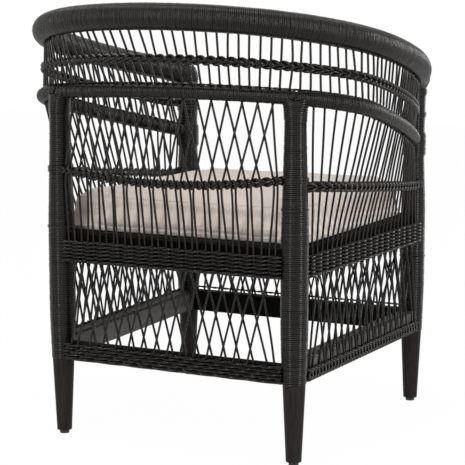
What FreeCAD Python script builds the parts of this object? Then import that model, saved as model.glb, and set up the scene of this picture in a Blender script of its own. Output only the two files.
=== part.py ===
import FreeCAD, Part
import math
import os

# Black rattan armchair: poles bound with cane, woven back, arms and skirt, and a loose seat cushion.
# Millimetres, +Z up. The sitter faces -Y and has the left hand at +X.
# The origin is on the floor under the middle of the bounding box.

V = FreeCAD.Vector
UP = V(0, 0, 1)

# Clearances
fit = 0.15               # round a tenon, a dowel or a pole inside its binding
rest_gap = 0.3           # between a strand and what it lies on
stake_gap = 0.9          # between a seat rail and the stakes that lean over it
edge_gap = 3.0           # between the last strand of a panel and a leg
cushion_gap = 2.5        # between the cushion and the legs

# Cane
binding = 2.0            # thickness of the cane wound on the poles
strand = 1.85            # radius of the stakes and of the lattice strands
braid_strand = 3.2       # radius of one cord of a braid
cord_end = 2.5           # length of a braid past its last stake
band_strand = 3.4        # radius of one woven row of a band
seat_band_rows = 6
bottom_band_rows = 4

# Legs
front_leg_x = 259.0
rear_leg_x = 239.0
leg_depth = 532.0        # between the front and the rear leg axes
glide_radius = 9.0
glide_height = 7.0
glide_pin_radius = 2.5
glide_pin_length = 18.0
foot_radius = 14.0
bare_radius = 20.5       # bare wood just under the binding
binding_start = 147.0
ankle_radius = 22.0      # outside the binding from here up
belly_radius = 24.8
neck_radius = 20.0
belly_low = 240.0
belly_high = 400.0
neck_drop = 64.0         # from the top of a leg down to its neck

# Top rail: the thick bound hoop of the back and the arms
top_radius = 23.5
top_overhang = 111.0     # behind the rear leg axes
top_height = 783.0       # axis of the rail at the middle of the back
top_slope = 0.188        # fall towards the front
top_back_radius = 404.0
top_headings = (20.2, 85.7, 117.0)
arm_bend = 27.0          # bend of the arm down into the front leg

# Mid rail: the thinner hoop that rests on the rear legs
mid_radius = 13.1
mid_drop = 130.0         # axis of the rail below the top rail at the middle of the back
mid_slope = 0.206
mid_back_radius = 740.0
mid_headings = (92.5, 108.2)
saddle_depth = 6.0       # how far the rear legs reach up round the rail
saddle_gap = 1.3         # room for the bend of the rail in the notch

# Dowels
dowel_radius = 5.0
dowel_length = 40.0

# Seat and bottom rails
seat_rail_bottom = 333.0
seat_rail_height = 52.0
seat_rail_thickness = 30.0
bottom_rail_height = 43.0
rear_rail_height = 31.0   # of the bottom rail at the rear
bottom_rail_thickness = 24.0
tenon_thickness = 11.0
tenon_shoulder = 8.0
tenon_gap = 2.0          # between two tenons that meet in one leg

# Seat deck
cleat_height = 15.0
cleat_thickness = 16.0
slat_count = 6
slat_width = 45.0
slat_thickness = 12.0
cane_radius = 6.0
cane_pitch = 15.0

# Weave
arm_stake_pitch = 17.0
arm_stake_lean = 30.0     # most that the head of an arm stake is moved towards the arm
upper_braid_level = 0.44  # share of the way from the mid rail to the top rail
side_stake_count = 26
side_stake_margin = 31.0  # from a leg axis to the nearest side stake
side_braid_level = 0.44   # share of the way from the seat band to the mid rail
lattice_pitch = 27.0
back_lattice_run = 40.0   # sideways travel of a strand from top to bottom
back_lattice_pair = 5.0   # half the distance between the two strands of a pair at the top
back_braid_level = 0.465  # share of the way from the seat band to the mid rail
back_braid_sag = 15.0
back_braid_bulge = 34.0   # middle of the back braid behind the rear leg axes
back_braid_end = 19.0     # ends of the back braid behind the rear leg axes
back_layer = 3.5          # from the middle of the back panel to each layer of its lattice
skirt_run = 46.0
skirt_pair = 11.5
strand_crowding = 7.0     # between the ends of strands that are turned aside by a leg

# Cushion
cushion_width = 496.0
cushion_thickness = 75.0
cushion_front = 20.0      # reach of its front edge past the front leg axes
cushion_corner = 7.0
cover_thickness = 1.5
zip_length = 380.0
zip_width = 6.0
zip_height = 17.0         # middle of the zip above the underside of the cushion

# Places that follow from the sizes
total_depth = belly_radius + leg_depth + top_overhang + top_radius
front_leg_y = belly_radius - total_depth / 2
rear_leg_y = front_leg_y + leg_depth
top_back_y = rear_leg_y + top_overhang
mid_height = top_height - mid_drop
seat_rail_top = seat_rail_bottom + seat_rail_height
seat_band_top = seat_rail_bottom + 2 * band_strand * seat_band_rows
bottom_band_top = binding_start + 2 * band_strand * bottom_band_rows
back_braid_height = seat_band_top + (mid_height - seat_band_top) * back_braid_level
stake_offset = seat_rail_thickness / 2 + stake_gap + strand
socket_stop = tenon_thickness / math.sqrt(2) + tenon_gap
front_leg = V(front_leg_x, front_leg_y, 0)
rear_leg = V(rear_leg_x, rear_leg_y, 0)


def mirrored(shape):
    """The same shape on the other side of the chair."""
    return shape.mirror(V(0, 0, 0), V(1, 0, 0))


def opposite(point):
    """The same point on the other side of the chair."""
    return V(-point.x, point.y, point.z)


def export(name, solids):
    """Write one node; several solids stay separate."""
    Part.makeCompound(solids).exportStep("parts/" + name + ".step")


def export_pair(name, solids):
    """Write the left node and its mirror image on the right."""
    export(name + "_left", solids)
    export(name + "_right", [mirrored(solid) for solid in solids])


def rod(start, end, radius):
    """Straight round strand or pin."""
    return Part.makeCylinder(radius, (end - start).Length, start, end - start)


def stake(start, end, start_trim, end_trim):
    """Straight strand that stops short of both points."""
    way = (end - start).normalize()
    return rod(start + way * start_trim, end - way * end_trim, strand)


def way_out(start, end, line, radius):
    """Length that a strand between two points has inside a round pole along a line, with the gap."""
    lean = abs((end - start).normalize().dot(line))
    return (radius + rest_gap + strand * lean) / math.sqrt(1 - lean * lean)


def turned(centre, outline):
    """Solid turned about a vertical axis, from (height, radius) pairs listed upwards."""
    corners = [V(radius, 0, height) for height, radius in outline]
    corners += [V(0, 0, outline[-1][0]), V(0, 0, outline[0][0])]
    solid = Part.Face(Part.makePolygon(corners + corners[:1])).revolve(V(0, 0, 0), UP, 360)
    solid.translate(centre)
    return solid


def thinner(outline, amount):
    """The same outline with less radius."""
    return [(height, radius - amount) for height, radius in outline]


class Hoop:
    """Half a horseshoe of three tangent arcs in a plane that falls towards the front.

    It starts at the middle of the back, heads to +X and ends over a given point. The last two radii
    follow from that end.
    """

    def __init__(self, back_y, back_z, slope, back_radius, headings, end):
        self.origin = V(0, back_y, back_z)
        tilt = math.atan(slope)
        self.forward = V(0, -math.cos(tilt), -math.sin(tilt))
        self.axis = V(1, 0, 0).cross(self.forward)
        first, second, third = [math.radians(angle) for angle in headings]
        across = end.x - back_radius * math.sin(first)
        ahead = (back_y - end.y) / math.cos(tilt) - back_radius * (1 - math.cos(first))
        corner = (math.sin(second) - math.sin(first), math.cos(first) - math.cos(second))
        side = (math.sin(third) - math.sin(second), math.cos(second) - math.cos(third))
        scale = corner[0] * side[1] - corner[1] * side[0]
        corner_radius = (across * side[1] - ahead * side[0]) / scale
        side_radius = (corner[0] * ahead - corner[1] * across) / scale
        self.arcs = [(back_radius, first), (corner_radius, second - first), (side_radius, third - second)]
        self.length = sum(radius * turn for radius, turn in self.arcs)

    def at(self, distance):
        """Point and heading at a distance from the middle of the back."""
        heading = 0.0
        point = self.origin
        for radius, turn in self.arcs:
            step = min(distance, radius * turn)
            after = heading + step / radius
            across = radius * (math.sin(after) - math.sin(heading))
            ahead = radius * (math.cos(heading) - math.cos(after))
            point = point + V(across, 0, 0) + self.forward * ahead
            heading = after
            distance -= step
        return point, V(math.cos(heading), 0, 0) + self.forward * math.sin(heading)

    def at_x(self, x):
        """Point and heading of the back arc at a given X on either side."""
        radius = self.arcs[0][0]
        point, heading = self.at(radius * math.asin(abs(x) / radius))
        return (point, heading) if x >= 0 else (opposite(point), opposite(heading))

    def turns(self):
        """Start, heading, radius and angle of each arc."""
        travelled = 0.0
        for radius, turn in self.arcs:
            point, heading = self.at(travelled)
            yield point, heading, radius, turn
            travelled += radius * turn

    def pole(self, radius):
        """Half pole along the hoop."""
        return [bend(point, heading, self.axis, arc, turn, radius) for point, heading, arc, turn in self.turns()]


def bend(point, heading, axis, arc, turn, radius):
    """Round pole bent about an axis, from a point and a heading."""
    section = Part.Face(Part.Wire(Part.makeCircle(radius, point, heading)))
    return section.revolve(point + axis.cross(heading) * arc, axis, math.degrees(turn))


def whole_pole(pieces):
    """Join the pieces of a half pole and their mirror images."""
    half = pieces[0].fuse(pieces[1:])
    return half.fuse(mirrored(half)).removeSplitter()


# Lines of the two hoops

class ArmEnd:
    """Bend that takes the top rail down onto the front leg."""

    def __init__(self, tilt, heading):
        fall = math.asin(math.sin(heading) * math.sin(tilt))
        way = V(math.cos(heading), -math.sin(heading) * math.cos(tilt), 0).normalize()
        self.start = front_leg - way * (arm_bend * (1 - math.sin(fall)))
        self.drop = arm_bend * math.cos(fall)
        self.turn = math.pi / 2 - fall


arm_end = ArmEnd(math.atan(top_slope), math.radians(top_headings[2]))
top_hoop = Hoop(top_back_y, top_height, top_slope, top_back_radius, top_headings, arm_end.start)
front_leg_top = top_hoop.at(top_hoop.length)[0].z - arm_end.drop

post_heading = math.asin(rear_leg_x / mid_back_radius)
mid_overhang = mid_back_radius * (1 - math.cos(post_heading)) * math.cos(math.atan(mid_slope))
mid_hoop = Hoop(rear_leg_y + mid_overhang, mid_height, mid_slope, mid_back_radius,
                (math.degrees(post_heading),) + mid_headings, front_leg)
post_distance = mid_back_radius * post_heading
post_rail_height = mid_hoop.at(post_distance)[0].z
rear_leg_top = post_rail_height - mid_radius + saddle_depth


def top_pole(radius):
    """Top rail with both ends bent down onto the front legs."""
    point, heading = top_hoop.at(top_hoop.length)
    axis = heading.cross(-UP).normalize()
    return whole_pole(top_hoop.pole(radius) + [bend(point, heading, axis, arm_bend, arm_end.turn, radius)])


def mid_pole(radius):
    """Mid rail from front leg axis to front leg axis."""
    return whole_pole(mid_hoop.pole(radius))


# Legs, their outlines and their joints

def leg_outline(top):
    """Outside of a bound leg, from the start of the binding to its top."""
    return [(binding_start, ankle_radius), (belly_low, belly_radius), (belly_high, belly_radius),
            (top - neck_drop, neck_radius), (top, neck_radius)]


def leg_space(centre, top):
    """Room that a bound leg takes, with the gap that strands and rails keep from it."""
    return turned(centre, thinner(leg_outline(top), -rest_gap))


def bar(start, end, thickness, bottom, top):
    """Upright board centred on the line between two points of the plan."""
    run = end - start
    board = Part.makeBox(run.Length, thickness, top - bottom, V(0, -thickness / 2, bottom))
    board.rotate(V(0, 0, 0), UP, math.degrees(math.atan2(run.y, run.x)))
    board.translate(start)
    return board


def tenon(start, end, bottom, top, extra):
    """Tenon through a rail from leg to leg; extra makes it the mortise."""
    core = bar(start, end, tenon_thickness + 2 * extra, bottom + tenon_shoulder - extra,
               top - tenon_shoulder + extra)
    stops = [Part.makeCylinder(socket_stop - extra, top, point) for point in (start, end)]
    return core.cut(stops)


leg_tops = {front_leg_y: front_leg_top, rear_leg_y: rear_leg_top}


def rail(start, end, bottom, height, thickness):
    """Board coped to the bound legs, with a tenon into each of them."""
    spaces = [leg_space(point, leg_tops[point.y]) for point in (start, end)]
    body = bar(start, end, thickness, bottom, bottom + height).cut(spaces)
    return body.fuse(tenon(start, end, bottom, bottom + height, 0)).removeSplitter()


rail_lines = {
    "front": (opposite(front_leg), front_leg),
    "rear": (rear_leg, opposite(rear_leg)),
    "left": (front_leg, rear_leg),
}
rail_levels = ("seat_rail", "bottom_rail")


def rail_sizes(level, side):
    """Bottom, height and thickness of a rail."""
    if level == "seat_rail":
        return seat_rail_bottom, seat_rail_height, seat_rail_thickness
    height = rear_rail_height if side == "rear" else bottom_rail_height
    return binding_start, height, bottom_rail_thickness


def mortises(centre):
    """Mortises of the rails that meet a leg."""
    holes = []
    for side, (start, end) in rail_lines.items():
        for level in rail_levels:
            bottom, height, thickness = rail_sizes(level, side)
            if centre in (start, end):
                holes.append(tenon(start, end, bottom, bottom + height, fit))
    return holes


def rail_socket(extra):
    """End of the mid rail inside a front leg; extra makes it the hole."""
    stop = Part.makeCylinder(socket_stop - extra, front_leg_top, front_leg)
    return mid_pole(mid_radius - binding - fit + extra).cut(stop)


def dowel(centre, middle, extra):
    """Upright dowel across a joint; extra makes it the hole."""
    half = dowel_length / 2 + extra
    return Part.makeCylinder(dowel_radius + extra, 2 * half, centre + UP * (middle - half))


def saddle():
    """Straight notch in the top of a rear leg that the mid rail lies in."""
    point, heading = mid_hoop.at(post_distance)
    reach = heading * (2 * belly_radius)
    return rod(point - reach, point + reach, mid_radius + saddle_gap)


arm_dowel = (front_leg, front_leg_top)
post_dowel = (rear_leg, post_rail_height - dowel_length / 2 + mid_radius / 2)


def glide(centre):
    """Round glide with a pin up into the foot."""
    disc = Part.makeCylinder(glide_radius, glide_height, centre)
    pin = Part.makeCylinder(glide_pin_radius, glide_height + glide_pin_length, centre)
    return disc.fuse(pin).removeSplitter()


def cut_each(shape, tools):
    """Cut the tools out of a shape one after the other."""
    for tool in tools:
        shape = shape.cut(tool)
    return shape


def leg_parts(centre, top, joints):
    """Turned leg and its binding, with the joints cut out of both."""
    outline = leg_outline(top)
    post = turned(centre, [(glide_height, foot_radius), (binding_start, bare_radius)]
                  + thinner(outline, binding + fit))
    pin_hole = Part.makeCylinder(glide_pin_radius + fit, glide_height + glide_pin_length + fit, centre)
    sleeve = turned(centre, outline).cut(turned(centre, thinner(outline, binding)))
    return cut_each(post, joints + [pin_hole]), cut_each(sleeve, joints)


def build_legs():
    """Four legs with their bindings and glides."""
    mid_space = mid_hoop.pole(mid_radius + rest_gap)
    rear_joints = mortises(rear_leg) + [saddle(), dowel(*post_dowel, fit)]
    front_joints = mortises(front_leg) + [rail_socket(fit), dowel(*arm_dowel, fit)]
    rear_post, rear_sleeve = leg_parts(rear_leg, rear_leg_top, rear_joints)
    front_post, front_sleeve = leg_parts(front_leg, front_leg_top, front_joints)
    export_pair("leg_rear", [rear_post])
    export_pair("leg_front", [front_post])
    export_pair("leg_binding_rear", [rear_sleeve])
    export_pair("leg_binding_front", [cut_each(front_sleeve, mid_space)])
    glides = [glide(front_leg), glide(rear_leg)]
    export("leg_glides", glides + [mirrored(one) for one in glides])


def build_hoops():
    """Top rail and mid rail, their bindings and the dowels that hold them."""
    arm_holes = [dowel(*arm_dowel, fit)]
    arm_holes += [mirrored(hole) for hole in arm_holes]
    post_holes = [dowel(*post_dowel, fit)]
    post_holes += [mirrored(hole) for hole in post_holes]
    export("top_rail", [top_pole(top_radius - binding - fit).cut(arm_holes)])
    export("top_rail_binding", [top_pole(top_radius).cut(top_pole(top_radius - binding))])
    export("mid_rail", [rail_socket(0).cut(mirrored(mid_stop())).cut(post_holes)])
    spaces = [leg_space(front_leg, front_leg_top)]
    spaces += [mirrored(space) for space in spaces]
    sleeve = mid_pole(mid_radius).cut(mid_pole(mid_radius - binding))
    export("mid_rail_binding", [sleeve.cut(spaces + post_holes)])
    for name, place in (("arm_dowels", arm_dowel), ("post_dowels", post_dowel)):
        pin = dowel(*place, 0)
        export(name, [pin, mirrored(pin)])


def mid_stop():
    """Cylinder at the front leg axis where the mid rail ends."""
    return Part.makeCylinder(socket_stop, front_leg_top, front_leg)


def build_rails():
    """Seat rails and bottom rails on all four sides."""
    for level in rail_levels:
        boards = {side: rail(start, end, *rail_sizes(level, side))
                  for side, (start, end) in rail_lines.items()}
        export(level + "_front", [boards["front"]])
        export(level + "_rear", [boards["rear"]])
        export_pair(level, [boards["left"]])


def side_x(y):
    """X of the line between the left leg axes."""
    return rear_leg_x + (front_leg_x - rear_leg_x) * (rear_leg_y - y) / leg_depth


def build_deck():
    """Cleats on the seat rails, slats on the cleats and canes on the slats."""
    front_face = front_leg_y + seat_rail_thickness / 2
    rear_face = rear_leg_y - seat_rail_thickness / 2
    slat_top = seat_rail_top - 2 * cane_radius - rest_gap
    cleat_top = slat_top - slat_thickness
    cleat_length = 2 * (rear_leg_x - belly_radius - edge_gap)
    corner = V(-cleat_length / 2, 0, cleat_top - cleat_height)
    for name, y in (("front", front_face), ("rear", rear_face - cleat_thickness)):
        cleat = Part.makeBox(cleat_length, cleat_thickness, cleat_height, corner + V(0, y, 0))
        export("seat_cleat_" + name, [cleat])
    step = cleat_length / slat_count
    slat_length = rear_face - front_face - 2 * rest_gap
    slats = []
    for index in range(slat_count):
        x = (index + 0.5) * step - cleat_length / 2 - slat_width / 2
        slats.append(Part.makeBox(slat_width, slat_length, slat_thickness,
                                  V(x, front_face + rest_gap, cleat_top)))
    export("seat_slats", slats)
    canes = []
    first = front_leg_y + belly_radius + edge_gap + cane_radius
    last = rear_leg_y - belly_radius - edge_gap - cane_radius
    count = int((last - first) / cane_pitch) + 1
    for index in range(count):
        y = first + (last - first) * index / (count - 1)
        reach = side_x(y + cane_radius) - seat_rail_thickness / 2 - 2 * rest_gap
        height = slat_top + rest_gap + cane_radius
        canes.append(rod(V(-reach, y, height), V(reach, y, height), cane_radius))
    export("seat_canes", canes)


# Cushion

def cushion_block(inset):
    """Cushion notched round the front legs; inset makes it smaller on every side."""
    half = cushion_width / 2 - inset
    tongue = front_leg_x - belly_radius - cushion_gap - inset
    rear = rear_leg_y - belly_radius - cushion_gap - inset
    notch = front_leg_y + belly_radius + cushion_gap + inset
    front = front_leg_y - cushion_front + inset
    right = [V(half, rear, 0), V(half, notch, 0), V(tongue, notch, 0), V(tongue, front, 0)]
    corners = [opposite(point) for point in right] + right[::-1]
    plan = Part.Face(Part.makePolygon(corners + corners[:1]))
    plan.translate(UP * (seat_rail_top + rest_gap + inset))
    block = plan.extrude(UP * (cushion_thickness - 2 * inset))
    uprights = [edge for edge in block.Edges if abs(edge.tangentAt(edge.FirstParameter).z) > 0.9]
    return block.makeFillet(cushion_corner - inset, uprights)


def zip_strip(extra):
    """Zip in the rear wall of the cover; extra makes it the slit."""
    rear = rear_leg_y - belly_radius - cushion_gap
    length = zip_length + 2 * extra
    width = zip_width + 2 * extra
    height = seat_rail_top + rest_gap + zip_height - width / 2
    return Part.makeBox(length, cover_thickness, width, V(-length / 2, rear - cover_thickness, height))


def build_cushion():
    """Cover, zip and foam of the seat cushion."""
    cover = cushion_block(0).cut(cushion_block(cover_thickness)).cut(zip_strip(fit))
    export("cushion_cover", [cover])
    export("cushion_zip", [zip_strip(0)])
    export("cushion_foam", [cushion_block(cover_thickness + fit)])


# Weave

def cord(path, tangents, outs):
    """Braid cord pulled straight from stake to stake."""
    rings = []
    for point, tangent, out in zip(path, tangents, outs):
        ring = Part.makeCircle(braid_strand)
        ring.Placement = FreeCAD.Placement(point, FreeCAD.Rotation(out, V(0, 0, 0), tangent, "ZXY"))
        rings.append(ring)
    walls = [Part.makeRuledSurface(ring, after) for ring, after in zip(rings, rings[1:])]
    caps = [Part.Face(Part.Wire(ring)) for ring in (rings[0], rings[-1])]
    skin = Part.makeShell(walls + caps)
    skin.sewShape()
    return Part.makeSolid(skin)


def braid(points, ways, half_thickness):
    """Two twined rows over a line of stakes: each row has a cord outside and a cord inside."""
    points = [points[0] + (points[0] - points[1]).normalize() * cord_end] + points
    points = points + [points[-1] + (points[-1] - points[-2]).normalize() * cord_end]
    ways = ways[:1] + ways + ways[-1:]
    last = len(points) - 1
    tangents = [points[min(index + 1, last)] - points[max(index - 1, 0)] for index in range(last + 1)]
    outs = [way.cross(tangent).normalize() for tangent, way in zip(tangents, ways)]
    lifts = [tangent.cross(out).normalize() for tangent, out in zip(tangents, outs)]
    reach = half_thickness + rest_gap + braid_strand
    rise = braid_strand + rest_gap / 2
    cords = []
    for row in (-rise, rise):
        for side in (-reach, reach):
            path = [point + out * side + lift * row for point, out, lift in zip(points, outs, lifts)]
            cords.append(cord(path, tangents, outs))
    return cords


def build_arms():
    """Stakes from the mid rail to the top rail, and the braid half way up."""
    last = mid_hoop.length - neck_radius - strand - edge_gap
    count = int(last / arm_stake_pitch)
    stakes = []
    points = []
    ways = []
    for index in range(count):
        distance = (index + 0.5) * last / count
        lean = arm_stake_lean * math.sin(math.pi * (distance / last) ** 0.75)
        foot, foot_line = mid_hoop.at(distance)
        head, head_line = top_hoop.at(distance * top_hoop.length / mid_hoop.length + lean)
        stakes.append(stake(foot, head, way_out(foot, head, foot_line, mid_radius),
                            way_out(foot, head, head_line, top_radius)))
        points.append(foot + (head - foot) * upper_braid_level)
        ways.append((head - foot).normalize())
    export_pair("arm_stakes", stakes)
    points = [opposite(point) for point in reversed(points)] + points
    ways = [opposite(way) for way in reversed(ways)] + ways
    export("upper_braid", braid(points, ways, strand))


def crowded(place, travel, limit, last):
    """End of a slanted strand, turned aside where a leg stands in its way."""
    return min(place + travel, limit - strand_crowding * (last - place) / lattice_pitch)


def lattice_ends(half_width, run, pair):
    """Top and bottom places of the strands of a lattice that lean one way."""
    limit = half_width - strand
    count = int((2 * limit - 2 * pair) / lattice_pitch) + 1
    tops = [(index - (count - 1) / 2) * lattice_pitch - pair for index in range(count)]
    return [(top, crowded(top, run, limit, tops[-1])) for top in tops]


def back_braid_point(x, half_width):
    """Point of the line of the back braid."""
    share = 1 - (x / half_width) ** 2
    bulge = back_braid_end + (back_braid_bulge - back_braid_end) * share
    return V(x, rear_leg_y + bulge, back_braid_height - back_braid_sag * share)


def build_back():
    """Lattice under the mid rail, the back braid and the stakes down to the seat band."""
    half_width = rear_leg_x - neck_radius - edge_gap
    feet = []
    for name, lean, depth in (("outer", 1, back_layer), ("inner", -1, -back_layer)):
        strands = []
        for top, bottom in lattice_ends(half_width, back_lattice_run, back_lattice_pair):
            shift = V(0, depth, 0)
            head, line = mid_hoop.at_x(lean * top)
            foot = back_braid_point(lean * bottom, half_width)
            head_trim = way_out(head, foot, line, mid_radius)
            strands.append(stake(head + shift, foot + shift, head_trim, rest_gap))
            feet.append(lean * bottom)
        export("back_lattice_" + name, strands)
    feet.sort()
    seat_half = rear_leg_x - belly_radius - edge_gap
    stakes = []
    points = []
    for index, x in enumerate(feet):
        head = back_braid_point(x, half_width)
        foot = V(seat_half * (2 * index / (len(feet) - 1) - 1), rear_leg_y + stake_offset, seat_band_top)
        stakes.append(stake(head, foot, 2 * rest_gap, 2 * rest_gap))
        points.append(head)
    export("back_stakes", stakes)
    export("back_braid", braid(points[::-1], [UP] * len(points), back_layer + strand))


def build_sides():
    """Stakes from the seat band to the mid rail at the sides, and the side braids."""
    run = rear_leg - front_leg
    along = V(run).normalize()
    out = along.cross(UP)
    top_start = post_distance + side_stake_margin
    top_span = mid_hoop.length - side_stake_margin - top_start
    foot_span = run.Length - 2 * side_stake_margin
    stakes = []
    points = []
    ways = []
    for index in range(side_stake_count):
        share = index / (side_stake_count - 1)
        head, line = mid_hoop.at(top_start + top_span * share)
        place = rear_leg - along * (side_stake_margin + foot_span * share)
        foot = place + out * stake_offset + UP * seat_band_top
        stakes.append(stake(foot, head, 2 * rest_gap, way_out(foot, head, line, mid_radius)))
        points.append(foot + (head - foot) * side_braid_level)
        ways.append((head - foot).normalize())
    export_pair("side_stakes", stakes)
    export_pair("side_braid", braid(points, ways, strand))


def band(start, end, thickness, bottom, rows):
    """Woven rows that lie on the outer face of a rail, one above the other."""
    along = (end - start).normalize()
    out = along.cross(UP)
    offset = thickness / 2 + rest_gap + band_strand
    inset = math.sqrt((belly_radius + rest_gap) ** 2 - (offset - band_strand) ** 2)
    strands = []
    for row in range(rows):
        shift = out * offset + UP * (bottom + (2 * row + 1) * band_strand)
        strands.append(rod(start + along * inset + shift, end - along * inset + shift,
                           band_strand - rest_gap / 4))
    return strands


def skirt(start, end):
    """Crossed strands from the seat band to the bottom band, in two layers."""
    along = (end - start).normalize()
    out = along.cross(UP)
    middle = (start + end) * 0.5
    half_width = (end - start).Length / 2 - belly_radius - edge_gap
    top_offset = seat_rail_thickness / 2 + rest_gap + strand
    foot_offset = bottom_rail_thickness / 2 + rest_gap + strand
    strands = []
    for lean, depth in ((1, 0), (-1, 2 * strand + rest_gap)):
        for top, bottom in lattice_ends(half_width, skirt_run, skirt_pair):
            head = middle + along * (lean * top) + out * (top_offset + depth) + UP * seat_rail_bottom
            foot = middle + along * (lean * bottom) + out * (foot_offset + depth) + UP * bottom_band_top
            strands.append(stake(head, foot, 3 * rest_gap, 3 * rest_gap))
    return strands


def build_skirts():
    """Seat band, lattice and bottom band on all four sides."""
    for name, (start, end) in rail_lines.items():
        seat_rows = band(start, end, seat_rail_thickness, seat_rail_bottom, seat_band_rows)
        bottom_rows = band(start, end, bottom_rail_thickness, binding_start, bottom_band_rows)
        nodes = {"seat_band": seat_rows, "skirt_lattice": skirt(start, end), "bottom_band": bottom_rows}
        for node, solids in nodes.items():
            if name == "left":
                export_pair(node, solids)
            else:
                export(node + "_" + name, solids)


os.makedirs("parts", exist_ok=True)
build_legs()
build_hoops()
build_rails()
build_deck()
build_cushion()
build_arms()
build_back()
build_sides()
build_skirts()
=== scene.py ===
import math

import bpy
import numpy as np
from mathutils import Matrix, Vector, noise
from mathutils.bvhtree import BVHTree


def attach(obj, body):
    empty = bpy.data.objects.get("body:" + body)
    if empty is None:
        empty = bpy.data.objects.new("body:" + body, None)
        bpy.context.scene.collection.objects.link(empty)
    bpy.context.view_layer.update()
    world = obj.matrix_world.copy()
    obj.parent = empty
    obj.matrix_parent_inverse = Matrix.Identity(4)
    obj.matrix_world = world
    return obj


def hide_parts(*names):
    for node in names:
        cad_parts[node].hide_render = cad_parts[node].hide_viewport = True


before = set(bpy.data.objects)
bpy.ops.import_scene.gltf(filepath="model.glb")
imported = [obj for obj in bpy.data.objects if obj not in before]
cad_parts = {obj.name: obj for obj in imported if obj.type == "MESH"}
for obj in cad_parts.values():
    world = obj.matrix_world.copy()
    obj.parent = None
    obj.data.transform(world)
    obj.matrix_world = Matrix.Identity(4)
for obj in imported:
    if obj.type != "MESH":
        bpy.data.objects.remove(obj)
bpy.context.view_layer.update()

# Black rattan armchair: the cane, the wood and the cushion that show on the frame.
# Metres, +Z up. The sitter faces -Y and has the left hand at +X.

UP = np.array((0.0, 0.0, 1.0))
REARWARD = np.array((0.0, 1.0, 0.0))
chance = np.random.default_rng(7)

# Legs and rails; the radii of the legs are outside their bindings
front_leg_x = 0.259  # axis of the leg from the middle of the chair
rear_leg_x = 0.239
leg_depth = 0.532  # from the front leg axes to the rear ones
ankle_radius = 0.022
belly_radius = 0.0248
neck_radius = 0.020
post_radius = 0.0190  # at the top of a rear leg
binding_start = 0.147
belly_low = 0.240
belly_high = 0.400
neck_drop = 0.064  # from the top of a rear leg down to its neck
seat_rail_bottom = 0.333
seat_rail_thickness = 0.030
bottom_rail_thickness = 0.024
bottom_rail_height = 0.043

# Top rail and mid rail
top_radius = 0.0235
top_overhang = 0.111  # of its axis behind the rear leg axes
top_height = 0.783  # of its axis at the back
top_slope = 0.188  # fall for each metre towards the front
top_back_radius = 0.404
top_headings = (20.2, 85.7, 117.0)  # degrees turned at the end of each of its three arcs
arm_bend = 0.027  # radius of its bend down onto a front leg
mid_radius = 0.0131
mid_drop = 0.130  # under the top rail, at the back
mid_slope = 0.206
mid_back_radius = 0.740
mid_headings = (92.5, 108.2)  # of its last two arcs
saddle_depth = 0.006  # how far the mid rail lies in the top of a rear leg
line_step = 0.004  # between the points of the line of a pole or a rim
bend_steps = 21  # of the line of the bend at the end of an arm

# Bindings: flat cane wound on the poles
wrap_pitch = 0.0034  # one turn
wrap_thickness = 0.002
turn_slip = 0.00022  # chance in the place of each turn
turn_swell = 0.00014  # chance in its height
arm_end_radius = 0.0226  # outside the binding where an arm meets its front leg
knuckle_places = (0.0, 0.010, 0.026, 0.042, 0.075)  # along the top rail, from the front leg round the bend
knuckle_radii = (arm_end_radius, 0.0255, 0.0285, 0.0265, top_radius)
swelling_radius = 0.0236  # outside the binding of a front leg, round the end of the mid rail
swelling_below = 0.027  # reach of that swelling under the axis of the rail
swelling_above = 0.012
swelling_foot = 0.005  # height of the slope under it
swelling_head = 0.006  # height of the slope over it
under_swelling = 0.0208  # radius under the lower slope
over_swelling = 0.0206  # radius over the upper slope
rail_wrap_end = 0.9  # where the cane of the mid rail stops, in neck radii from a front leg axis
rail_wrap_gap = 0.0015  # half the gap between two lengths of it
side_wrap_rise = 0.0004  # how far it stands out more at the sides
back_wrap_rise = -0.0003  # and less at the back
front_joins = (0.30, 0.30)  # heights where a new length starts on the left and the right leg
rear_joins = (0.395, 0.452)
join_cane = 0.0013  # radius of the turn over such a start
join_rise = 0.003
join_turns = 1.3
join_sink = 0.0006  # how deep it lies in the binding

# Shoulders: turns that widen from the top of a rear leg into the mid rail
shoulder_drop = 0.034  # height of a shoulder
shoulder_gap = 0.004  # from its top to the axis of the rail
shoulder_ease = 0.0005  # how far it stands out from the binding of the leg
shoulder_spread = 0.005  # how much it widens along the rail
shoulder_pinch = 0.003  # how much it narrows across the rail
shoulder_climb = 0.008  # how far its turns rise along the rail

# Ties of the plaits to the legs, and collars under the arms
tie_cane = 0.0017
upper_tie_level = 0.5  # share of the way from the mid rail to the top of the front leg
tie_below = 0.005  # reach of a tie under its plait
tie_above = 0.006
tie_turns = 3.6
tie_sink = 0.0005
collar_below = 0.012  # reach of a collar under the top of the leg
collar_gap = 0.001  # from the collar to the top of the leg
collar_turns = 3.4
collar_sink = 0.0004
coil_stand = 0.6  # share of its radius by which a coiled cane stands off what it is wound on

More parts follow.
